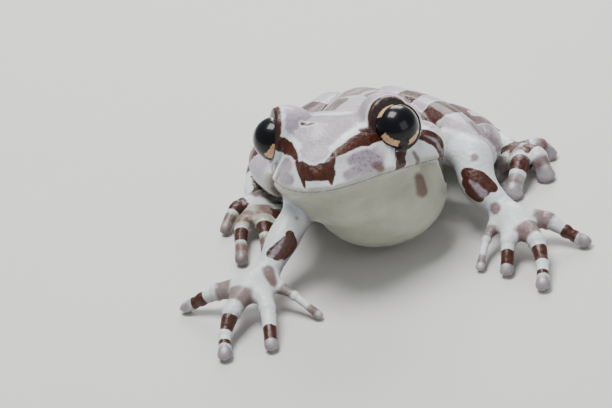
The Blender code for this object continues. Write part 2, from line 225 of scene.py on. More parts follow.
def limb(stations):
    """A tapering tube through stations of (x, y, z, radius), with round ends."""
    deselect()
    bpy.ops.curve.primitive_bezier_curve_add()
    tube = bpy.context.object
    curve = tube.data
    curve.dimensions = "3D"
    curve.bevel_depth = 1.0
    curve.bevel_resolution = 5
    curve.resolution_u = 10
    curve.use_fill_caps = True
    points = curve.splines[0].bezier_points
    points.add(len(stations) - len(points))
    for point, (x, y, z, radius) in zip(points, stations):
        point.co = (x, y, z)
        point.radius = radius
        point.handle_left_type = point.handle_right_type = "AUTO"
    bpy.ops.object.convert(target="MESH")
    bpy.ops.object.mode_set(mode="EDIT")
    bpy.ops.mesh.select_all(action="SELECT")
    bpy.ops.mesh.remove_doubles(threshold=0.001)
    bpy.ops.mesh.normals_make_consistent(inside=False)
    bpy.ops.object.mode_set(mode="OBJECT")
    ends = (stations[0], stations[-1])
    return [tube, *[ball(Vector(end[:3]), end[3], segments=16, rings=10) for end in ends]]


def lofted(rings):
    """A closed skin through rings of equal length: a disc that is extruded from each ring to the next."""
    deselect()
    bpy.ops.mesh.primitive_circle_add(vertices=len(rings[0]), fill_type="NGON")
    made = bpy.context.object
    bpy.ops.object.mode_set(mode="EDIT")
    bpy.ops.mesh.select_all(action="SELECT")
    shape = bmesh.from_edit_mesh(made.data)
    shape.verts.ensure_lookup_table()
    for vertex, point in zip(shape.verts, rings[0]):
        vertex.co = point
    for near, far in zip(rings, rings[1:]):
        bpy.ops.mesh.extrude_region_move()
        shape = bmesh.from_edit_mesh(made.data)
        for vertex in (v for v in shape.verts if v.select):
            index = min(range(len(near)), key=lambda i: (vertex.co - near[i]).length_squared)
            vertex.co = far[index]
    bpy.ops.mesh.select_all(action="SELECT")
    bpy.ops.mesh.normals_make_consistent(inside=False)
    bpy.ops.object.mode_set(mode="OBJECT")
    return made


def blend_profile(keys, at):
    """Smooth value at one station of a profile, whose keys are (station, value) in rising order."""
    if at <= keys[0][0]:
        return keys[0][1]
    for (a, low), (b, high) in zip(keys, keys[1:]):
        if at <= b:
            share = (at - a) / (b - a)
            eased = share * share * (3 - 2 * share)
            return low + (high - low) * 0.5 * (share + eased)
    return keys[-1][1]


def smooth_loop(points, steps):
    """A closed curve through the points, with steps samples on each span."""
    loop = []
    count = len(points)
    for i in range(count):
        before, start, end, after = (points[(i + k) % count] for k in (-1, 0, 1, 2))
        for step in range(steps):
            t = step / steps
            loop.append(
                0.5
                * (
                    2 * start
                    + (end - before) * t
                    + (2 * before - 5 * start + 4 * end - after) * t * t
                    + (3 * start - before - 3 * end + after) * t * t * t
                )
            )
    return loop


# The head: stations run from the nape to the snout tip, in the head's own axes
HEAD_STATIONS = (-8.6, -7.0, -5.5, -3.5, -1.5, 0.5, 2.5, 4.2, 5.6, 6.7, 7.5, 8.0, 8.3)
LIP_HALF_WIDTH = (
    *((-9.0, 7.6), (-5.5, 8.4), (-2.0, 8.2), (2.0, 7.1)),
    *((5.0, 5.5), (7.0, 3.7), (8.0, 1.9), (8.3, 0.6)),
)
RIDGE_HALF_WIDTH = ((-9.0, 5.2), (-4.0, 5.4), (0.0, 4.6), (3.0, 3.5), (6.0, 2.5), (7.5, 1.6), (8.3, 0.3))
CROWN = ((-9.0, 0.7), (-4.0, 1.65), (0.0, 1.4), (3.0, 0.6), (6.0, -0.5), (7.5, -1.4), (8.3, -2.6))
THROAT = ((-9.0, -8.6), (-5.5, -8.6), (-2.0, -8.3), (2.0, -7.6), (5.0, -6.7), (7.0, -5.7), (8.3, -4.7))
MOUTH = ((-9.0, -5.3), (-5.6, -4.9), (0.0, -4.35), (3.5, -4.0), (5.5, -4.05), (7.2, -4.25), (8.3, -4.4))
MOUTH_CORNER = -5.6


def head_ring(forward):
    """One cross-section of the head: crown, canthal ridge, cheek, lip and throat."""
    lip, ridge = blend_profile(LIP_HALF_WIDTH, forward), blend_profile(RIDGE_HALF_WIDTH, forward)
    crown, throat = blend_profile(CROWN, forward), blend_profile(THROAT, forward)
    mouth = blend_profile(MOUTH, forward)
    half = [
        (ridge, crown - 0.12),
        (0.36 * ridge + 0.64 * lip, 0.45 * crown + 0.55 * mouth),
        (lip, mouth + 0.35),
        (0.93 * lip, mouth - 0.45 * (mouth - throat)),
        (0.55 * lip, throat + 0.12 * (mouth - throat)),
    ]
    outline = [(0.0, crown), *half, (0.0, throat), *[(-side, up) for side, up in reversed(half)]]
    return smooth_loop([on_head(forward, side, up) for side, up in outline], 6)


# Masses round each eye: centre from the eye's own in (forward, outwards, up), and radii on those axes
CHEEK = ((-6.0, 0.3, -3.5), (3.6, 2.9, 2.9))
BROW = {
    LEFT: (((-2.05, -1.9, 0.6), 3.05), ((-0.85, -1.15, 0.85), 2.65), ((-1.3, -0.75, -0.2), 2.75), CHEEK),
    RIGHT: (((-1.5, -1.3, 0.35), 2.9), ((-0.55, -1.2, 0.75), 2.8), ((-0.6, -1.3, 0.05), 2.85), CHEEK),
}


def brow(side):
    """The raised socket rim that carries one eye, and the swelling behind it."""
    made = []
    for (forward, outwards, up), radii in BROW[side]:
        centre = on_head(forward, side * (EYE_SPREAD + outwards), up)
        made.append(ball(centre, radii, (FORWARD, SIDE, UP)))
    return made


# The trunk: (x, y, z) of each centre, with half width and half height
TRUNK_STATIONS = (
    ((-1.2, 0.6, 7.6), 6.6, 5.7),
    ((-0.6, 3.6, 7.0), 7.9, 6.3),
    ((0.0, 7.5, 6.3), 8.0, 6.2),
    ((0.3, 12.0, 5.4), 7.4, 5.6),
    ((0.4, 16.5, 4.7), 6.4, 4.8),
    ((0.4, 20.5, 4.1), 5.1, 3.9),
    ((0.3, 24.0, 3.5), 3.8, 2.9),
    ((0.2, 26.4, 3.0), 2.4, 2.0),
    ((0.2, 27.6, 2.8), 1.1, 1.0),
)
CHEST = ((0.3, -1.5, 6.8), (7.5, 6.8, 5.9))
NECK = ((-8.0, 0.0, -3.1), (5.4, 8.2, 4.3))
GULLET = ((-0.4, 1.0, -7.0), (5.6, 5.9, 3.5))


def trunk_rings():
    """Flattened oval sections that follow the spine from the neck to the vent."""
    rings = []
    centres = [Vector(centre) for centre, _, _ in TRUNK_STATIONS]
    for i, (_, wide, high) in enumerate(TRUNK_STATIONS):
        along = (centres[min(i + 1, len(centres) - 1)] - centres[max(i - 1, 0)]).normalized()
        across = along.cross(Z_UP).normalized()
        above = across.cross(along)
        turns = [2 * math.pi * step / 40 for step in range(40)]
        rings.append([centres[i] + across * math.cos(t) * wide + above * math.sin(t) * high for t in turns])
    return rings


# Limbs: stations of (x, y, z, radius), on the frog's left and right
UPPER_ARM = {
    LEFT: ((5.6, 5.8, 7.4, 2.3), (8.6, 4.4, 7.7, 2.1), (11.1, 1.2, 7.4, 2.25)),
    RIGHT: ((-6.2, 4.4, 7.6, 2.3), (-8.2, 0.6, 7.4, 2.0), (-8.9, -3.2, 6.8, 1.7)),
}
FOREARM = {
    LEFT: ((11.1, 1.2, 7.4, 2.25), (11.0, -1.5, 5.7, 2.2), (12.9, -3.9, 3.7, 1.5)),
    RIGHT: ((-8.9, -3.2, 6.8, 1.8), (-11.0, -5.6, 5.4, 1.95), (-13.1, -8.3, 3.6, 1.45)),
}
PALM = {
    LEFT: ((13.0, -4.2, 3.5, 1.5), (14.2, -6.2, 3.1, 1.8)),
    RIGHT: ((-13.2, -8.6, 3.4, 1.5), (-15.2, -10.4, 3.1, 1.8)),
}
# Each finger runs from the palm to the pad at its tip, the inner finger first
FINGERS = {
    LEFT: (
        ((12.4, -4.9, 2.9, 0.9), (10.6, -7.4, 2.0, 0.62), (9.3, -10.4, 0.55, 0.6)),
        ((13.4, -6.4, 3.1, 1.15), (12.7, -9.4, 2.5, 0.9), (11.9, -12.2, 0.75, 0.8)),
        (
            (14.3, -6.8, 3.2, 1.25), (15.6, -10.8, 2.7, 1.05),
            (15.6, -13.4, 1.7, 0.8), (15.1, -16.2, 0.75, 0.8),
        ),
        ((15.0, -5.9, 3.0, 1.2), (17.6, -6.8, 2.6, 1.05), (19.2, -8.0, 1.6, 0.8), (20.9, -9.2, 0.75, 0.8)),
    ),
    RIGHT: (
        ((-12.9, -9.9, 2.9, 0.9), (-10.8, -12.0, 2.1, 0.62), (-8.6, -14.2, 0.55, 0.6)),
        ((-14.2, -10.6, 3.1, 1.15), (-13.8, -14.2, 2.5, 0.95), (-14.0, -18.6, 0.75, 0.8)),
        (
            (-15.9, -11.0, 3.2, 1.25), (-17.6, -14.0, 2.6, 1.05),
            (-18.6, -16.2, 1.5, 0.8), (-18.9, -18.8, 0.75, 0.8),
        ),
        (
            (-16.2, -10.0, 3.0, 1.2), (-18.9, -9.2, 2.5, 1.05),
            (-20.7, -8.7, 1.6, 0.8), (-22.5, -8.2, 0.75, 0.8),
        ),
    ),
}
FINGER_PAD = (0.85, 1.05, 1.1, 1.1)

THIGH = {
    LEFT: ((3.9, 21.4, 4.4, 2.8), (7.6, 15.6, 5.0, 3.0), (10.2, 10.2, 5.5, 2.6), (11.9, 5.9, 5.2, 2.0)),
    RIGHT: ((-3.0, 22.6, 4.3, 2.8), (-6.8, 17.0, 5.1, 3.0), (-9.0, 12.0, 5.7, 2.5), (-10.1, 7.6, 5.6, 2.0)),
}
SHANK = {
    LEFT: ((12.2, 6.0, 4.7, 1.9), (13.2, 10.2, 4.1, 2.15), (12.0, 16.4, 3.4, 1.75), (9.4, 21.6, 2.9, 1.4)),
    RIGHT: (
        (-10.4, 7.5, 5.0, 1.9), (-11.6, 12.4, 4.8, 2.1),
        (-10.6, 18.2, 3.8, 1.75), (-7.8, 23.2, 2.9, 1.4),
    ),
}
TARSUS = {
    LEFT: ((9.8, 22.0, 1.4, 1.35), (13.6, 18.8, 1.05, 1.12), (16.2, 13.2, 1.15, 1.22)),
    RIGHT: ((-8.2, 23.6, 1.4, 1.35), (-12.2, 20.4, 1.05, 1.1), (-13.6, 14.0, 1.1, 1.15)),
}
SOLE = {
    LEFT: ((16.3, 12.8, 1.15, 1.2), (17.3, 9.2, 1.45, 1.45)),
    RIGHT: ((-13.6, 13.6, 1.1, 1.1), (-12.8, 8.8, 1.35, 1.35)),
}
TOES = {
    LEFT: (
        ((16.8, 12.2, 1.3, 0.9), (15.2, 10.2, 1.2, 0.62), (14.0, 8.0, 0.55, 0.6)),
        ((16.9, 10.6, 1.5, 1.0), (15.0, 8.8, 1.6, 0.75), (13.8, 8.8, 0.65, 0.7)),
        ((17.1, 9.8, 1.7, 1.15), (16.6, 6.5, 2.3, 0.95), (15.2, 3.6, 0.75, 0.8)),
        ((17.6, 10.0, 1.8, 1.15), (18.9, 7.9, 2.2, 0.95), (19.4, 6.3, 0.75, 0.8)),
        ((17.8, 11.2, 1.5, 1.05), (19.6, 11.2, 1.7, 0.8), (20.6, 11.0, 0.7, 0.75)),
    ),
    RIGHT: (
        ((-12.6, 11.0, 1.2, 0.9), (-11.0, 8.8, 1.1, 0.62), (-10.2, 6.2, 0.55, 0.6)),
        ((-12.4, 9.4, 1.4, 1.0), (-11.2, 6.0, 1.3, 0.75), (-10.8, 2.6, 0.65, 0.7)),
        ((-12.7, 8.6, 1.6, 1.1), (-12.9, 4.6, 2.0, 0.95), (-13.0, 0.0, 0.75, 0.8)),
        ((-13.0, 8.6, 1.6, 1.1), (-15.2, 5.0, 2.1, 0.95), (-16.0, -0.6, 0.75, 0.8)),
        ((-13.5, 10.2, 1.5, 1.05), (-15.8, 9.0, 1.8, 0.85), (-17.4, 6.6, 0.75, 0.8)),
    ),
}
TOE_PAD = (0.75, 0.9, 1.05, 1.05, 0.95)
PAD_SQUASH = 0.72
PAD_HEIGHT = 0.5
DIGIT_SWELL = 0.12


def digit(stations, pad):
    """One finger or toe, with the wide flat pad at its tip, a little stout as the blend thins it."""
    stations = [(*place, radius + DIGIT_SWELL) for *place, radius in stations]
    pad += DIGIT_SWELL
    x, y, _, _ = stations[-1]
    x0, y0, _, _ = stations[-2]
    along = Vector((x - x0, y - y0, 0.0)).normalized()
    radii = (pad * 0.95, pad, pad * PAD_SQUASH)
    return [*limb(stations), ball(Vector((x, y, pad * PAD_HEIGHT)), radii, (along, Z_UP.cross(along), Z_UP))]


def body_masses():
    """Every mass of flesh, before they are blended into one skin."""
    masses = [lofted([head_ring(station) for station in HEAD_STATIONS]), lofted(trunk_rings())]
    masses.append(ball(Vector(CHEST[0]), CHEST[1]))
    masses += [ball(on_head(*centre), radii, (FORWARD, SIDE, UP)) for centre, radii in (NECK, GULLET)]
    for side in SIDES:
        masses += brow(side)
        for part in (UPPER_ARM, FOREARM, PALM, THIGH, SHANK, TARSUS, SOLE):
            masses += limb(part[side])
        for stations, pad in (*zip(FINGERS[side], FINGER_PAD), *zip(TOES[side], TOE_PAD)):
            masses += digit(stations, pad)
    return masses


def fused(name, masses, pitch, smoothing):
    """One closed mesh from overlapping masses, with a soft blend where they meet."""
    picked(*masses)
    bpy.ops.object.join()
    made = bpy.context.object
    made.name = made.data.name = name
    apply_modifier(made, "REMESH", mode="VOXEL", voxel_size=pitch, use_smooth_shade=True)
    apply_modifier(made, "SMOOTH", factor=0.5, iterations=smoothing)
    return made


def rounded(inside, soft):
    """0 outside and 1 inside, with a smooth step as wide as soft. inside is millimetres within."""
    share = np.clip(inside / soft + 0.5, 0.0, 1.0)
    return share * share * (3 - 2 * share)


def apply_to_part(obj, share, kind, **values):
    """Applies a modifier to part of a mesh. share is how much each point takes part, from 0 to 1."""
    group = obj.vertex_groups.new(name="part")
    for step in range(1, 11):
        members = np.flatnonzero(np.round(share * 10).astype(int) == step)
        group.add(members.tolist(), step / 10, "REPLACE")
    apply_modifier(obj, kind, vertex_group=group.name, **values)
    obj.vertex_groups.clear()


class Surface:
    """The skin's points and normals in millimetres, in the frog's and the head's axes, to measure on."""

    def __init__(self, obj):
        self.obj = obj
        self.count = len(obj.data.vertices)
        self.read()

    def read(self):
        points, normals = (np.empty(self.count * 3, np.float32) for _ in range(2))
        self.obj.data.vertices.foreach_get("co", points)
        self.obj.data.vertex_normals.foreach_get("vector", normals)
        self.points = points.reshape(-1, 3).astype(np.float64)
        self.normals = normals.reshape(-1, 3).astype(np.float64)
        self.head = (self.points - np.array(EYE_LINE)) @ np.array((FORWARD, SIDE, UP)).T

    def write(self):
        self.obj.data.vertices.foreach_set("co", self.points.astype(np.float32).ravel())
        self.obj.data.update()
        self.read()

    def push(self, amount):
        """Moves the skin along its normals by that many millimetres."""
        self.points += self.normals * np.asarray(amount)[:, None]
        self.write()

    def chain(self, line, points=None):
        """Nearest place on a chain of (x, y, z, radius): gap to its surface, arc length and bare distance."""
        points = self.points if points is None else points
        line = np.array(line, float)
        best, arc = np.full(self.count, 1e9), np.zeros(self.count)
        bare, travelled = np.full(self.count, 1e9), 0.0
        for start, end in zip(line, line[1:]):
            run = end[:3] - start[:3]
            length = max(float(np.linalg.norm(run)), 1e-9)
            share = np.clip((points - start[:3]) @ run / length**2, 0.0, 1.0)
            away = np.linalg.norm(points - (start[:3] + share[:, None] * run), axis=1)
            gap = away - (start[3] + share * (end[3] - start[3]))
            nearer = gap < best
            best = np.where(nearer, gap, best)
            arc = np.where(nearer, travelled + share * length, arc)
            bare = np.where(nearer, away, bare)
            travelled += length
        return best, arc, bare

    def stroke(self, line, on_head_axes=False):
        """Depth inside a painted stroke, in millimetres: positive within the chain's radius."""
        if len(line) == 1:
            line = (line[0], line[0])
        return -self.chain(line, self.head if on_head_axes else None)[0]

    def store(self, name, values):
        """Keeps one number per point for the material to read."""
        attribute = self.obj.data.attributes.new(name, "FLOAT", "POINT")
        attribute.data.foreach_set("value", np.asarray(values, np.float32))


# Each eye's opening: its axis, outwards and upwards from straight ahead, and its half angle
OPENING = {LEFT: (33.0, 14.0, 80.0), RIGHT: (60.0, 14.0, 80.0)}
LID_PROUD = 0.24
NOSTRILS = ((6.7, 1.75, -1.05), (6.3, -2.5, -1.1))
TYMPANUM = (-5.0, 9.2, -3.3)
TYMPANUM_RADIUS = 0.8
# The groove along the back, and the two humps of the hip beside it
SPINE_AT = 0.2
HIP_OUT, HIP_ALONG = 2.4, 15.0
# The fold of skin behind the eye, on the left, as a chain of (forward, left, up, radius)
TEMPLE_FOLD = ((-2.3, 8.3, 0.2, 0.3), (-4.6, 9.2, -1.3, 0.35), (-7.4, 8.9, -3.2, 0.4), (-8.8, 8.4, -5.6, 0.3))


def mirrored(line):
    """The same line on the other side of the head."""
    return tuple((forward, -side, *rest) for forward, side, *rest in line)


def bell(distance, width):
    return np.exp(-((distance / width) ** 2))


def shape_lids(skin):
    """Opens the skin round each eyeball and leaves a proud lid. skin.lid holds the way out from its edge."""
    skin.lid = {}
    for side, (out, up, half) in OPENING.items():
        offset = skin.points - np.array(eye_centre(side))
        away = np.linalg.norm(offset, axis=1)
        turn = np.arccos(np.clip(offset @ np.array(head_direction(side, out, up)) / away, -1, 1))
        edge = (turn - math.radians(half)) * EYE_RADIUS
        near = away < EYE_RADIUS + 1.8
        sunk = np.minimum(away, EYE_RADIUS - 0.12)
        lid = EYE_RADIUS + 0.08 + (LID_PROUD - 0.08) * bell(edge - 0.2, 0.45)
        raised = np.where(edge < 3.2, np.maximum(away, lid), away)
        opened = rounded(edge + 0.05, 0.3)
        wanted = np.where(near, sunk + (raised - sunk) * opened, away)
        skin.points += offset * ((wanted - away) / away)[:, None]
        skin.lid[side] = np.where(near, edge, FAR)
    skin.write()


def sculpt(skin):
    """Lids, lips, folds, nostrils, ears and joints, as moves of the skin along its normals."""
    shape_lids(skin)
    forward, side, up = skin.head.T
    on_face = rounded(forward + 6.4, 1.5) * rounded(7.0 - np.abs(up + 2.0), 1.0)

    mouth = up - np.interp(forward, *zip(*MOUTH))
    before_corner = rounded(forward - MOUTH_CORNER, 1.6) * on_face
    skin.mouth = np.where(before_corner > 0.5, np.abs(mouth), FAR)
    lips = 0.12 * bell(mouth - 0.42, 0.34) - 0.17 * bell(mouth, 0.15) + 0.03 * bell(mouth + 0.4, 0.3)
    move = lips * before_corner

    for place in NOSTRILS:
        away = np.linalg.norm(skin.head - np.array(place), axis=1)
        move += 0.08 * bell(away - 0.38, 0.16) - 0.28 * bell(away, 0.2)
    for line in (TEMPLE_FOLD, mirrored(TEMPLE_FOLD)):
        move += 0.2 * bell(np.maximum(-skin.stroke(line, True), 0.0), 0.3)
    for ear in (TYMPANUM, (TYMPANUM[0], -TYMPANUM[1], TYMPANUM[2])):
        away = np.linalg.norm(skin.head - np.array(ear), axis=1)
        past = away - TYMPANUM_RADIUS
        move += 0.09 * bell(past - 0.16, 0.15) - 0.12 * bell(past + 0.1, 0.16)

    x, y, _ = skin.points.T
    upper = rounded(skin.normals[:, 2] - 0.3, 0.6)
    move -= 0.12 * bell(x - SPINE_AT, 0.55) * upper * rounded(y - 4.0, 3.0) * rounded(22.0 - y, 4.0)
    for hip in (SPINE_AT - HIP_OUT, SPINE_AT + HIP_OUT):
        move += 0.3 * bell(np.hypot(x - hip, (y - HIP_ALONG) / 2.2), 1.1) * upper

    for side in SIDES:
        for stations in (*FINGERS[side], *TOES[side]):
            move += knuckles(skin, stations)
        for first, second in ((UPPER_ARM, FOREARM), (FOREARM, PALM), (SHANK, TARSUS)):
            joint = np.array(first[side][-1][:3])
            away = np.linalg.norm(skin.points - joint, axis=1)
            along = skin.chain((*first[side], *second[side]))[1] - arc_length(first[side])
            wave = 0.05 * np.cos(along * 9.0)
            move += wave * bell(away, 1.9) * (away < 3.5)
    skin.push(move)


def arc_length(line):
    return sum(math.dist(a[:3], b[:3]) for a, b in zip(line, line[1:]))


def knuckles(skin, stations):
    """Swollen joints with a crease before and behind each, and the groove round the pad at the tip."""
    gap, arc, bare = skin.chain(stations)
    close = bare < 1.7
    move = np.zeros(skin.count)
    for index in range(1, len(stations) - 1):
        along = arc - arc_length(stations[: index + 1])
        move += 0.09 * bell(along, 0.35) - 0.05 * bell(np.abs(along) - 0.55, 0.16)
    tip = np.array(stations[-1][:3])
    flat = np.linalg.norm((skin.points - tip)[:, :2], axis=1)
    height = skin.points[:, 2]
    move -= 0.07 * bell(height - 0.34, 0.12) * rounded(flat - 0.45, 0.3) * (flat < 1.7)
    return move * close * (np.abs(gap) < 1.0)


# Markings, as chains of (forward, left, up, radius) on the head. Those of LEFT_* are mirrored to the right
CANTHUS = (
    (
        (1.0, 5.4, -0.2, 1.0), (2.6, 4.4, -0.4, 0.95), (3.8, 3.5, -0.5, 0.8),
        (5.0, 2.9, -0.7, 0.64), (6.5, 1.9, -1.0, 0.44),
    ),
    (
        (1.4, -5.8, 0.0, 0.9), (2.5, -5.1, -0.4, 0.88), (3.6, -4.1, -0.5, 0.7),
        (4.9, -3.1, -0.7, 0.5), (6.1, -2.5, -1.0, 0.34),
    ),
)
SNOUT = (
    (
        (7.3, -1.7, -1.8, 0.66), (8.0, -0.9, -2.35, 0.88), (8.1, 0.0, -2.4, 0.82),
        (8.0, 0.8, -2.35, 0.98), (7.8, 1.2, -2.4, 0.94),
    ),
    ((6.3, -2.4, -1.05, 0.32), (7.6, -1.8, -2.1, 0.48), (8.0, -1.5, -3.2, 0.32), (8.2, -1.3, -3.85, 0.1)),
    ((6.5, 1.8, -1.0, 0.34), (7.4, 1.6, -1.6, 0.52), (7.8, 1.5, -2.6, 0.55), (8.1, 1.6, -3.75, 0.16)),
)
CROWN_MARKS = (((0.7, -3.3, 1.45, 0.22), (0.6, -2.7, 1.4, 0.34), (0.5, -2.1, 1.35, 0.2)),)
# On the sides of the head, the same on both: chains of (forward, up, radius)
CHEEK_BROWN = (
    ((-0.1, -2.2, 0.85), (0.7, -3.0, 0.62), (1.3, -3.6, 0.66), (1.7, -4.1, 0.9)),
    (
        (-2.2, -0.5, 0.5), (-3.6, -1.6, 0.72), (-4.6, -3.0, 0.85),
        (-5.4, -4.6, 0.76), (-5.8, -6.0, 0.78), (-5.6, -7.0, 0.75),
    ),
)
# Lilac in the middle of the brown band behind the eye is a painted highlight of the wet skin
CHEEK_HIGHLIGHT = (((-3.7, -1.9, 0.1), (-4.7, -3.3, 0.3), (-5.2, -4.3, 0.1)),)
CHEEK_FAINT = (
    ((-1.8, -3.5, 0.46), (-1.6, -4.1, 0.5)),
    ((4.2, -3.2, 0.55),),
    ((-1.1, -5.9, 0.5), (-0.8, -7.3, 0.62)),
)
WHITE_LINES = (
    ((1.2, 4.6, 1.5, 0.3), (2.3, 3.3, 0.5, 0.4), (3.9, 2.4, 0.1, 0.5), (5.6, 1.4, -0.5, 0.34)),
    ((2.0, -5.2, 1.0, 0.26), (2.4, -4.5, 0.5, 0.42), (3.3, -3.5, 0.0, 0.42), (5.0, -2.5, -0.4, 0.3)),
    ((-2.8, -2.8, 1.5, 0.4), (-3.0, -1.2, 1.4, 0.55), (-2.6, 1.0, 1.4, 0.5)),
)
# Lilac fields, mirrored to the right
LEFT_LILAC = (
    (
        (6.1, 3.4, -1.9, 0.45), (5.1, 4.0, -1.8, 0.75), (4.1, 4.9, -2.0, 0.85),
        (3.9, 5.5, -2.7, 0.85), (4.5, 5.7, -3.3, 0.6),
    ),
    ((5.0, 5.0, -2.8, 0.9), (6.6, 3.8, -3.1, 0.7), (7.0, 3.2, -3.2, 0.5)),
)

# Markings of the body and arms, as chains of (x, y, z, radius)
BACK = (
    ((-5.2, 3.0, 11.6, 1.6), (-2.0, 5.8, 13.0, 2.2), (1.8, 6.2, 13.1, 2.3), (5.2, 3.6, 11.7, 1.7)),
    ((-4.2, 10.6, 10.9, 1.6), (-3.0, 13.6, 10.2, 2.1)),
    ((3.6, 11.2, 11.0, 2.0), (2.4, 14.4, 10.3, 1.8)),
    ((-0.9, 17.8, 9.2, 1.9), (0.6, 20.4, 8.2, 2.4), (0.4, 23.2, 6.9, 1.5)),
    ((7.0, 8.0, 8.4, 1.3), (6.8, 12.0, 7.0, 1.7)),
    ((-7.0, 7.0, 8.4, 1.3), (-6.6, 11.4, 7.1, 1.7)),
    ((5.2, 17.6, 6.4, 1.4), (4.4, 20.4, 5.4, 1.3)),
    ((-5.2, 17.2, 6.6, 1.4), (-4.2, 20.4, 5.4, 1.3)),
)
FOREARM_PATCH = (
    ((9.8, -1.7, 7.3, 0.65), (11.1, -2.7, 7.2, 0.7), (12.3, -3.4, 6.1, 0.72)),
    ((9.9, -2.5, 6.5, 0.85), (11.2, -3.5, 6.0, 0.95)),
    ((9.8, -3.0, 5.7, 0.6), (10.7, -3.8, 5.3, 0.65)),
    ((-10.2, -6.6, 6.3, 0.55), (-10.3, -7.1, 5.2, 0.95), (-11.2, -7.9, 4.9, 0.6)),
    ((-10.6, -7.2, 6.0, 0.6), (-12.6, -8.1, 5.4, 0.5)),
    ((-10.9, -7.8, 5.2, 0.6), (-12.1, -8.3, 5.0, 0.5)),
)
# Lilac in the middle of the forearms' brown patches is a painted highlight of the wet skin
FOREARM_HIGHLIGHT = (
    ((10.2, -2.7, 6.7, 0.3), (11.2, -3.9, 5.7, 0.5)),
    ((-10.8, -7.0, 6.4, 0.1), (-11.6, -7.7, 5.8, 0.26), (-12.4, -8.3, 5.3, 0.34)),
)
ARM_FAINT = (
    ((12.2, -5.2, 4.3, 0.7), (12.9, -5.2, 3.4, 0.6)),
    ((-13.1, -9.8, 4.3, 0.75), (-12.9, -11.0, 3.5, 0.6)),
    ((11.0, -0.9, 8.6, 0.4),),
    ((-9.2, -5.2, 7.4, 0.2),),
    ((-7.9, -4.9, 7.3, 0.14), (-8.1, -4.4, 5.8, 0.16)),
)
# Bars across a limb: centre and half width along it, in millimetres from its first station
BARS = (
    (UPPER_ARM, ((2.1, 1.0),)),
    (THIGH, ((4.4, 1.6), (10.4, 1.8))),
    (SHANK, ((6.2, 1.6), (12.6, 1.8))),
    (TARSUS, ((3.2, 1.2), (7.6, 1.3))),
)
# Bands round a digit: centre and half width, back from its tip, in millimetres; the third is how dark it is
FINGER_BANDS = (
    ((0.9, 0.5, 0.4), (4.4, 0.7, 0.3)),
    ((1.3, 0.85, 1.0),),
    ((1.35, 0.3, 0.7), (3.9, 0.95, 1.0), (7.4, 1.0, 0.55)),
    ((1.8, 0.85, 1.0), (5.2, 0.9, 0.6)),
)
TOE_BANDS = ((1.3, 0.5, 0.6), (3.3, 0.9, 0.8), (6.2, 1.0, 0.6))
# Bands darker than this are brown, and the others are faint
DARK_FROM = 0.65
# The cheeks' markings start this far from the middle of the head
CHEEK_FROM = 3.2


def widest(skin, lines, on_head_axes=False):
    """Depth inside the nearest of several strokes."""
    return np.max([skin.stroke(line, on_head_axes) for line in lines], axis=0)


def cheeks(skin, lines):
    """Depth inside strokes that are drawn on both sides of the head, seen from the side."""
    flat = skin.head * np.array((1.0, 0.0, 1.0))
    depth = []
    for line in lines:
        chain = [(f, 0.0, u, r) for f, u, r in (*line, *line)[: max(2, len(line))]]
        depth.append(-skin.chain(chain, flat)[0])
    return np.where(np.abs(skin.head[:, 1]) > CHEEK_FROM, np.max(depth, axis=0), -FAR)


def lid_band(skin):
    """Brown inner rim of each upper lid, which thins towards both corners."""
    depth = np.full(skin.count, -FAR)
    for side, (out, up, _) in OPENING.items():
        look = np.array(head_direction(side, out, up))
        above = np.array(UP) - look * (np.array(UP) @ look)
        offset = skin.points - np.array(eye_centre(side))
        offset -= (offset @ look)[:, None] * look
        height = offset @ above / (np.linalg.norm(offset, axis=1) * np.linalg.norm(above) + 1e-9)
        wide = 0.31 * rounded(height - 0.05, 0.7)
        depth = np.maximum(depth, wide - np.abs(skin.lid[side] - wide + 0.15))
    return depth


def limb_bars(skin):
    """Bars over the upper side of each limb."""
    depth = np.full(skin.count, -FAR)
    for stations, bars in BARS:
        for side in SIDES:
            gap, arc, _ = skin.chain(stations[side])
            for centre, half in bars:
                bar = np.minimum(half - np.abs(arc - centre), 1.6 * (skin.normals[:, 2] + 0.25))
                depth = np.maximum(depth, np.minimum(bar, 1.2 - np.abs(gap)))
    return depth


def digit_bands(skin):
    """Depth inside dark bands and inside faint ones, on every finger and toe."""
    dark, faint = np.full(skin.count, -FAR), np.full(skin.count, -FAR)
    for side in SIDES:
        digits = (*zip(FINGERS[side], FINGER_BANDS), *((toe, TOE_BANDS) for toe in TOES[side]))
        for stations, bands in digits:
            gap, arc, _ = skin.chain(stations)
            back = arc_length(stations) - arc
            for centre, half, strength in bands:
                within = half - np.abs(back - centre)
                if strength > DARK_FROM:
                    dark = np.maximum(dark, np.minimum(within, 0.6 - np.abs(gap)))
                else:
                    faint = np.maximum(faint, np.minimum(within, 0.3 - np.abs(gap)))
    return dark, faint


def arms_share(skin):
    """1 on the forearms and hands, 0 elsewhere."""
    lines = [line for side in SIDES for line in (FOREARM[side], PALM[side], *FINGERS[side])]
    return rounded(0.9 - np.min([skin.chain(line)[0] for line in lines], axis=0), 0.6)


def pad_rims(skin):
    """From 0 to 1 towards the outer edge of each pad."""
    share = np.zeros(skin.count)
    for side in SIDES:
        for stations in (*FINGERS[side], *TOES[side]):
            tip, before = (np.array(station[:2]) for station in (stations[-1], stations[-2]))
            ahead = (tip - before) / np.linalg.norm(tip - before)
            offset = skin.points[:, :2] - tip
            away = np.linalg.norm(offset, axis=1)
            outer = rounded(away - 0.2, 0.8) * rounded(offset @ ahead + 0.6, 0.9) * (away < 1.9)
            share = np.maximum(share, outer)
    return share


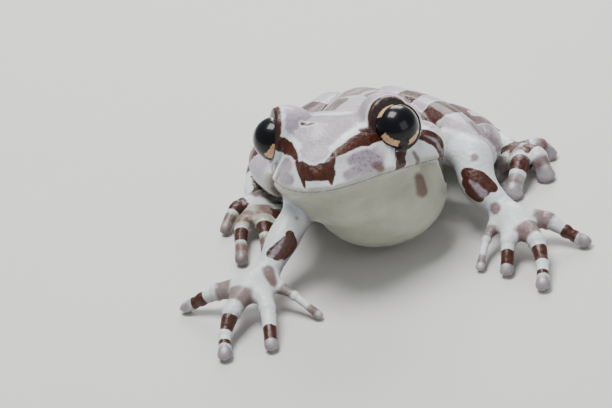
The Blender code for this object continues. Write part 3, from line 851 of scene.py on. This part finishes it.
def paint(skin):
    """Stores the depth of each kind of marking in millimetres, which the material turns into colour, with the
    painted highlight in brown patches and the painted shade on the arms' undersides.
    """
    forward, side, up = skin.head.T
    arm = arms_share(skin)
    on_head = rounded(forward + 8.2, 1.6) * (1 - arm)
    height = skin.points[:, 2]
    below = np.interp(forward, *zip(*MOUTH)) - up

    dark_bands, faint_bands = digit_bands(skin)
    cheek = np.minimum(cheeks(skin, CHEEK_BROWN), np.where(forward > -2.5, -below - 0.05, FAR))
    head = np.maximum(widest(skin, (*CANTHUS, *SNOUT, *CROWN_MARKS), True), cheek)
    patches = np.where(on_head > 0.5, -FAR, np.maximum(widest(skin, BACK), limb_bars(skin)))
    skin.store("brown", np.max([head, lid_band(skin), widest(skin, FOREARM_PATCH), dark_bands], axis=0))
    skin.store("patch", patches)
    # patch_highlight: painted highlight in lilac, inside the brown band behind the eye and inside the forearm
    # patches
    skin.store("patch_highlight", np.maximum(cheeks(skin, CHEEK_HIGHLIGHT), widest(skin, FOREARM_HIGHLIGHT)))
    skin.store("faint", np.max([cheeks(skin, CHEEK_FAINT), widest(skin, ARM_FAINT), faint_bands], axis=0))
    skin.store("white", widest(skin, WHITE_LINES, True))

    flush = rounded(widest(skin, (*LEFT_LILAC, *(mirrored(line) for line in LEFT_LILAC)), True) + 0.1, 0.6)
    skin.store("flush", flush)
    crown = rounded(up - np.interp(forward, (-9.0, 0.0, 4.0, 8.0), (-3.0, 0.4, -0.6, -2.1)), 1.0) * on_head
    back = rounded(skin.normals[:, 2] + 0.05, 0.9) * (1 - on_head) * rounded(height - 3.0, 3.0)
    skin.store("lilac", np.max([flush, crown, (0.9 - 0.7 * arm) * back], axis=0))
    # Sides and undersides of the arms and hands turn plum-brown: partly their own tint, partly painted shade
    underside_tint_and_shade = rounded(0.15 - skin.normals[:, 2], 0.9) * arm
    skin.store("rim", np.maximum(pad_rims(skin), 0.8 * underside_tint_and_shade))

    throat = rounded(below - 0.1, 0.5) * on_head
    belly = rounded(-skin.normals[:, 2] - 0.4, 0.8) * (1 - on_head) * (1 - 0.6 * arm)
    aside = rounded(np.abs(skin.points[:, 0] - 0.3) - 6.6, 1.5)
    chest = rounded(1.5 - skin.points[:, 1], 4.0) * (1 - aside) * (1 - on_head)
    lip = on_head * bell(below + 0.3, 0.3) * (skin.mouth < 3.0)
    skin.store("cream", np.clip(np.max([throat, belly, chest, 0.8 * lip], axis=0), 0, 1))
    skin.store("mouth", skin.mouth)
    skin.store("lid", np.minimum(skin.lid[LEFT], skin.lid[RIGHT]))
    away = [np.linalg.norm(skin.head - np.array(place), axis=1) for place in NOSTRILS]
    skin.store("nostril", np.min(away, axis=0))


def scaled(colour, share):
    """A colour made darker or lighter."""
    return tuple(share * value for value in colour)


class NodeSheet:
    """Short ways to add and link shader nodes."""

    def __init__(self, name):
        self.material = bpy.data.materials.new(name)
        self.material.use_nodes = True
        self.nodes = self.material.node_tree.nodes
        self.links = self.material.node_tree.links
        self.shader = self.nodes["Principled BSDF"]

    def link(self, source, target):
        if isinstance(source, (int, float)):
            target.default_value = source
        elif not isinstance(source, bpy.types.NodeSocket):
            colour = len(source) == 3 and len(target.default_value) == 4
            target.default_value = (*source, 1.0) if colour else source
        else:
            self.links.new(source, target)

    def attribute(self, name):
        node = self.nodes.new("ShaderNodeAttribute")
        node.attribute_name = name
        return node.outputs["Fac"]

    def place(self):
        return self.nodes.new("ShaderNodeTexCoord").outputs["Object"]

    def math(self, operation, *values):
        node = self.nodes.new("ShaderNodeMath")
        node.operation = operation
        for socket, value in zip(node.inputs, values):
            self.link(value, socket)
        return node.outputs[0]

    def noise(self, scale, detail=3.0, roughness=0.55):
        node = self.nodes.new("ShaderNodeTexNoise")
        self.link(self.place(), node.inputs["Vector"])
        node.inputs["Scale"].default_value = scale
        node.inputs["Detail"].default_value = detail
        node.inputs["Roughness"].default_value = roughness
        return node.outputs["Fac"]

    def cells(self, scale):
        node = self.nodes.new("ShaderNodeTexVoronoi")
        self.link(self.place(), node.inputs["Vector"])
        node.inputs["Scale"].default_value = scale
        return node.outputs["Distance"]

    def step(self, value, low, high):
        """0 below low and 1 above high, smooth between."""
        node = self.nodes.new("ShaderNodeMapRange")
        node.interpolation_type = "SMOOTHSTEP"
        self.link(value, node.inputs["Value"])
        node.inputs["From Min"].default_value = low
        node.inputs["From Max"].default_value = high
        return node.outputs["Result"]

    def mix(self, share, under, over):
        node = self.nodes.new("ShaderNodeMix")
        node.data_type = "RGBA"
        self.link(share, node.inputs["Factor"])
        self.link(under, node.inputs["A"])
        self.link(over, node.inputs["B"])
        return node.outputs["Result"]

    def finish(self, **values):
        """Sets the shader's own sockets, which are named with _ for a space."""
        for name, value in values.items():
            self.shader.inputs[name.replace("_", " ")].default_value = value

    def bump(self, *layers):
        """Bump from (height, distance in metres, strength) layers, one over the other."""
        normal = None
        for height, distance, strength in layers:
            node = self.nodes.new("ShaderNodeBump")
            node.inputs["Strength"].default_value = strength
            node.inputs["Distance"].default_value = distance
            self.link(height, node.inputs["Height"])
            if normal:
                self.link(normal, node.inputs["Normal"])
            normal = node.outputs["Normal"]
        self.link(normal, self.shader.inputs["Normal"])


def skin_material(settings):
    """Moist frog skin: cream below, darkened as painted shade, white and lilac above, brown marks with pale
    margins, and lilac centres in brown patches that are a painted highlight.
    """
    sheet = NodeSheet("frog_skin")
    cloud = sheet.noise(300.0, 3.0)
    wobble = sheet.math("SUBTRACT", sheet.noise(1000.0, 3.0, 0.6), 0.5)
    fleck = sheet.noise(2600.0, 3.0, 0.65)

    def depth(name, amount=0.36):
        return sheet.math("MULTIPLY_ADD", wobble, amount, sheet.attribute(name))

    shadow_lilac = scaled(settings.lilac, 0.62)
    lilac = sheet.mix(sheet.step(cloud, 0.36, 0.66), settings.lilac, scaled(settings.lilac, 1.32))
    lilac = sheet.mix(sheet.math("MULTIPLY", sheet.step(fleck, 0.52, 0.7), 0.45), lilac, shadow_lilac)
    lilac = sheet.mix(sheet.math("MULTIPLY", sheet.attribute("flush"), 0.4), lilac, shadow_lilac)
    grain = sheet.step(sheet.noise(3400.0, 4.0, 0.75), 0.5, 0.62)
    freckles = sheet.math("MULTIPLY", grain, sheet.attribute("flush"))
    lilac = sheet.mix(sheet.math("MULTIPLY", freckles, sheet.step(cloud, 0.62, 0.4)), lilac, settings.plum)
    white = sheet.mix(sheet.step(cloud, 0.35, 0.7), settings.white, scaled(settings.white, 0.86))
    # Cream for throat, lips and belly, set darker as painted shade on these undersides, the throat under the
    # head most
    cream = sheet.mix(sheet.step(cloud, 0.3, 0.7), settings.cream, scaled(settings.cream, 0.8))

    colour = sheet.mix(sheet.attribute("lilac"), white, lilac)
    colour = sheet.mix(sheet.attribute("cream"), colour, cream)
    colour = sheet.mix(sheet.step(depth("white", 0.6), -0.35, 0.25), colour, settings.white)

    swell = sheet.math("MULTIPLY_ADD", sheet.math("SUBTRACT", cloud, 0.5), 1.9, depth("patch", 0.5))
    brown = sheet.math("MAXIMUM", depth("brown"), swell)
    soft_halo = sheet.math("MULTIPLY", sheet.step(swell, -0.5, -0.1), 0.55)
    halo = sheet.math("MAXIMUM", sheet.step(depth("brown"), -0.42, -0.16), soft_halo)
    colour = sheet.mix(sheet.math("MULTIPLY", halo, 0.6), colour, white)
    # rim: plum-brown on the pads' outer edges, and on the arms' undersides a tint that is partly painted
    # shade
    rim = sheet.math("MULTIPLY", sheet.attribute("rim"), sheet.math("MULTIPLY_ADD", cloud, 0.6, 0.5))
    rim_tint_and_shade_colour = tuple((plum + dusk) / 2 for plum, dusk in zip(settings.plum, settings.dusk))
    colour = sheet.mix(rim, colour, rim_tint_and_shade_colour)
    strength = sheet.math("MULTIPLY_ADD", cloud, 0.4, 0.62)
    faint = sheet.math("MULTIPLY", sheet.step(depth("faint"), -0.25, 0.22), strength)
    colour = sheet.mix(faint, colour, settings.dusk)
    mottled = sheet.mix(sheet.step(fleck, 0.4, 0.68), settings.brown, scaled(settings.brown, 1.7))
    colour = sheet.mix(sheet.step(brown, -0.08, 0.07), colour, mottled)
    # Painted highlight: lilac in the middle of large brown patches and along the listed strokes
    inner = sheet.math("MULTIPLY", sheet.step(sheet.math("SUBTRACT", swell, 1.75), -0.3, 0.3), 0.5)
    painted = sheet.math("MULTIPLY", sheet.step(depth("patch_highlight", 0.5), -0.14, 0.2), 0.72)
    patch_highlight = sheet.math("MAXIMUM", painted, inner)
    colour = sheet.mix(patch_highlight, colour, sheet.mix(sheet.step(fleck, 0.45, 0.65), settings.lilac, shadow_lilac))

    # Painted shade: a dark line along the crease of the mouth
    groove = sheet.math("MULTIPLY", sheet.step(sheet.attribute("mouth"), 0.15, 0.03), 0.7)
    colour = sheet.mix(groove, colour, (0.15, 0.12, 0.06))
    # Painted shade in the nostril pits
    colour = sheet.mix(sheet.step(sheet.attribute("nostril"), 0.2, 0.1), colour, settings.brown)
    # Painted shade: near black where the lid meets the eyeball
    colour = sheet.mix(sheet.step(sheet.attribute("lid"), 0.17, 0.05), colour, (0.02, 0.011, 0.011))
    sheet.link(colour, sheet.shader.inputs["Base Color"])

    sheet.link(sheet.math("MULTIPLY_ADD", fleck, 0.28, 0.26), sheet.shader.inputs["Roughness"])
    sheet.finish(Subsurface_Weight=0.12, Subsurface_Radius=(1.0, 0.5, 0.35), Subsurface_Scale=0.0006)
    sheet.finish(Specular_IOR_Level=0.35, Coat_Weight=0.4, Coat_Roughness=0.12, Coat_IOR=1.35)
    warts = sheet.math("SUBTRACT", 1.0, sheet.cells(2300.0))
    sheet.bump((warts, 0.00012, 0.5), (sheet.noise(6500.0, 3.0), 0.00006, 0.6))
    return sheet.material


def eye_material(settings):
    """Wet black eye with four gold patches round a wide pupil."""
    sheet = NodeSheet("eye")
    grain = sheet.noise(5200.0, 4.0, 0.7)
    depth = sheet.math("MULTIPLY_ADD", sheet.math("SUBTRACT", grain, 0.5), 0.42, sheet.attribute("gold"))
    gilt = sheet.mix(sheet.step(grain, 0.35, 0.62), scaled(settings.gold, 0.6), settings.gold)
    colour = sheet.mix(sheet.step(depth, -0.05, 0.07), settings.black, gilt)
    sheet.link(colour, sheet.shader.inputs["Base Color"])
    sheet.finish(Roughness=0.3, Specular_IOR_Level=0.15, Coat_Weight=0.8, Coat_Roughness=0.03, Coat_IOR=1.3)
    return sheet.material


# Gold patches of the iris: first and last angle round the optic axis, from outwards through up, in degrees
IRIS_PATCHES = ((20.0, 74.0), (90.0, 148.0), (200.0, 252.0), (282.0, 328.0))
IRIS_INNER, IRIS_OUTER = 56.0, 77.0


def paint_iris(eye, side):
    """Stores how deep each point of the eyeball lies in a gold patch, in millimetres."""
    surface = Surface(eye)
    look = np.array(head_direction(side, GAZE_OUT, GAZE_UP))
    above = np.array(UP) - look * (np.array(UP) @ look)
    above /= np.linalg.norm(above)
    outwards = np.cross(above, look)
    outwards *= np.sign(outwards @ np.array(SIDE)) * side
    offset = surface.points - np.array(eye_centre(side))
    polar = np.degrees(np.arccos(np.clip(offset @ look / EYE_RADIUS, -1, 1)))
    turn = np.degrees(np.arctan2(offset @ above, offset @ outwards)) % 360.0
    arc = math.radians(1.0) * EYE_RADIUS
    ringed = np.minimum(polar - IRIS_INNER, IRIS_OUTER - polar) * arc
    wedge = np.max([np.minimum(turn - first, last - turn) for first, last in IRIS_PATCHES], axis=0)
    surface.store("gold", np.minimum(ringed, wedge * arc * np.sin(np.radians(polar))))


def floor_material(settings):
    """Matt pale floor, a little uneven."""
    sheet = NodeSheet("studio_floor")
    shade = sheet.mix(sheet.noise(60.0), settings.floor, scaled(settings.floor, 0.96))
    sheet.link(shade, sheet.shader.inputs["Base Color"])
    sheet.shader.inputs["Roughness"].default_value = 0.75
    return sheet.material


# Share of the faces that is left where the plain parts of the trunk and thighs are thinned
PLAIN_KEPT = 0.73
# Smoothing passes that take the lumps of the blend out of the throat and the nape
THROAT_PASSES, NAPE_PASSES = 140, 60

FLESH = ["head", "lower_jaw", "trunk"] + [
    f"{part}_{side}"
    for side in SIDES.values()
    for part in ("upper_arm", "forearm", "hand", "thigh", "shank", "tarsus", "foot")
]


class FROG_OT_skin(bpy.types.Operator):
    """Blends, sculpts and marks the skin that replaces every solid of flesh"""

    bl_idname = "frog.skin"
    bl_label = "Frog Skin"

    def execute(self, context):
        settings = context.scene.frog_skin
        piece = fused("skin", body_masses(), settings.pitch, settings.smoothing)
        skin = Surface(piece)
        forward, side, up = skin.head.T
        throat = rounded(np.interp(forward, *zip(*MOUTH)) - 0.9 - up, 1.2) * rounded(forward + 9.0, 3.0)
        apply_to_part(piece, throat, "SMOOTH", factor=0.5, iterations=THROAT_PASSES)
        skin.read()
        nape = rounded(-4.6 - forward, 2.5) * rounded(forward + 13.0, 3.0) * rounded(up + 9.0, 2.0)
        apply_to_part(piece, nape, "SMOOTH", factor=0.5, iterations=NAPE_PASSES)
        skin.read()
        x, y, z = skin.points.T
        plain = rounded(y - 3.0, 2.0) * np.maximum(rounded(z - 3.2, 1.0), rounded(7.5 - np.abs(x), 1.0))
        apply_to_part(piece, plain, "DECIMATE", ratio=PLAIN_KEPT)
        skin = Surface(piece)
        skin.points[:, 2] = np.maximum(skin.points[:, 2], 0.0)
        skin.write()
        sculpt(skin)
        paint(skin)
        piece.data.materials.clear()
        piece.data.materials.append(skin_material(settings))
        finished_place(piece)
        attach(piece, "root")
        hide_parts(*FLESH)
        return {"FINISHED"}


class FROG_OT_eyes(bpy.types.Operator):
    """Makes both eyes, with the iris turned to each optic axis"""

    bl_idname = "frog.eyes"
    bl_label = "Frog Eyes"

    def execute(self, context):
        material = eye_material(context.scene.frog_eye)
        for side, name in SIDES.items():
            piece = ball(eye_centre(side), EYE_RADIUS, segments=144, rings=96)
            piece.name = piece.data.name = f"{name}_eye"
            bpy.ops.object.shade_smooth()
            paint_iris(piece, side)
            piece.data.materials.append(material)
            finished_place(piece)
            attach(piece, "root")
            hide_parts(f"eye_{name}")
        return {"FINISHED"}


class FROG_OT_stage(bpy.types.Operator):
    """Makes the floor, the soft light and the camera at the photograph's viewing angle"""

    bl_idname = "frog.stage"
    bl_label = "Frog Stage"

    def execute(self, context):
        settings = context.scene.frog_stage
        deselect()
        bpy.ops.mesh.primitive_plane_add(size=3.0)
        floor = context.object
        floor.name = "floor"
        floor.data.materials.append(floor_material(settings))
        self.make_camera(context, settings)
        self.make_lights(context, settings)
        return {"FINISHED"}

    def make_camera(self, context, settings):
        ahead = Vector((0.0, math.cos(settings.elevation), -math.sin(settings.elevation)))
        upright = Vector((0.0, math.sin(settings.elevation), math.cos(settings.elevation)))
        lean = Matrix.Rotation(-settings.roll, 3, -ahead)
        right, top = lean @ Vector((1.0, 0.0, 0.0)), lean @ upright
        place = (CAMERA_AT + CENTRE_SHIFT) * MM
        bpy.ops.object.camera_add()
        camera = context.object
        camera.matrix_world = Matrix.Translation(place) @ Matrix((right, top, -ahead)).transposed().to_4x4()
        camera.data.lens = settings.lens
        camera.data.sensor_width = 36.0
        camera.data.clip_start = 0.01
        context.scene.camera = camera

    def make_lights(self, context, settings):
        middle = Vector((0.0, 0.0, 0.006))
        for name, place, size, power in LIGHTS:
            bpy.ops.object.light_add(type="AREA", location=place)
            lamp = context.object
            lamp.name = name
            lamp.data.size = size
            lamp.data.energy = power * settings.key_power
            lamp.rotation_euler = (middle - Vector(place)).to_track_quat("-Z", "Y").to_euler()
        world = bpy.data.worlds.new("soft_studio")
        world.use_nodes = True
        background = world.node_tree.nodes["Background"]
        background.inputs["Color"].default_value = (0.93, 0.96, 1.0, 1.0)
        background.inputs["Strength"].default_value = 0.26
        context.scene.world = world


CAMERA_AT = Vector((-7.9, -221.9, 134.1))
# Area lamps: name, place and side in metres, and power as a share of the key light's
LIGHTS = (
    ("key", (-0.05, 0.04, 0.34), 0.17, 1.0),
    ("fill", (0.22, -0.26, 0.16), 0.24, 0.18),
    ("rim", (0.06, 0.28, 0.18), 0.16, 0.45),
)


class FROG_PT_panel(bpy.types.Panel):
    """Lists the pieces of the frog in the sidebar"""

    bl_idname = "FROG_PT_panel"
    bl_label = "Milk Frog"
    bl_space_type = "VIEW_3D"
    bl_region_type = "UI"
    bl_category = "Milk Frog"

    def draw(self, context):
        pairs = (("frog.skin", "frog_skin"), ("frog.eyes", "frog_eye"), ("frog.stage", "frog_stage"))
        for operator, settings in pairs:
            box = self.layout.box()
            group = getattr(context.scene, settings)
            for name in type(group).__annotations__:
                box.prop(group, name)
            box.operator(operator)


CLASSES = (
    FrogSkinSettings,
    FrogEyeSettings,
    FrogStageSettings,
    FROG_OT_skin,
    FROG_OT_eyes,
    FROG_OT_stage,
    FROG_PT_panel,
)


def register():
    for cls in CLASSES:
        bpy.utils.register_class(cls)
    bpy.types.Scene.frog_skin = PointerProperty(type=FrogSkinSettings)
    bpy.types.Scene.frog_eye = PointerProperty(type=FrogEyeSettings)
    bpy.types.Scene.frog_stage = PointerProperty(type=FrogStageSettings)


def unregister():
    for name in ("frog_skin", "frog_eye", "frog_stage"):
        delattr(bpy.types.Scene, name)
    for cls in reversed(CLASSES):
        bpy.utils.unregister_class(cls)


def main():
    """Builds every piece and the stage."""
    register()
    bpy.ops.frog.skin()
    bpy.ops.frog.eyes()
    bpy.ops.frog.stage()


if __name__ == "__main__":
    main()
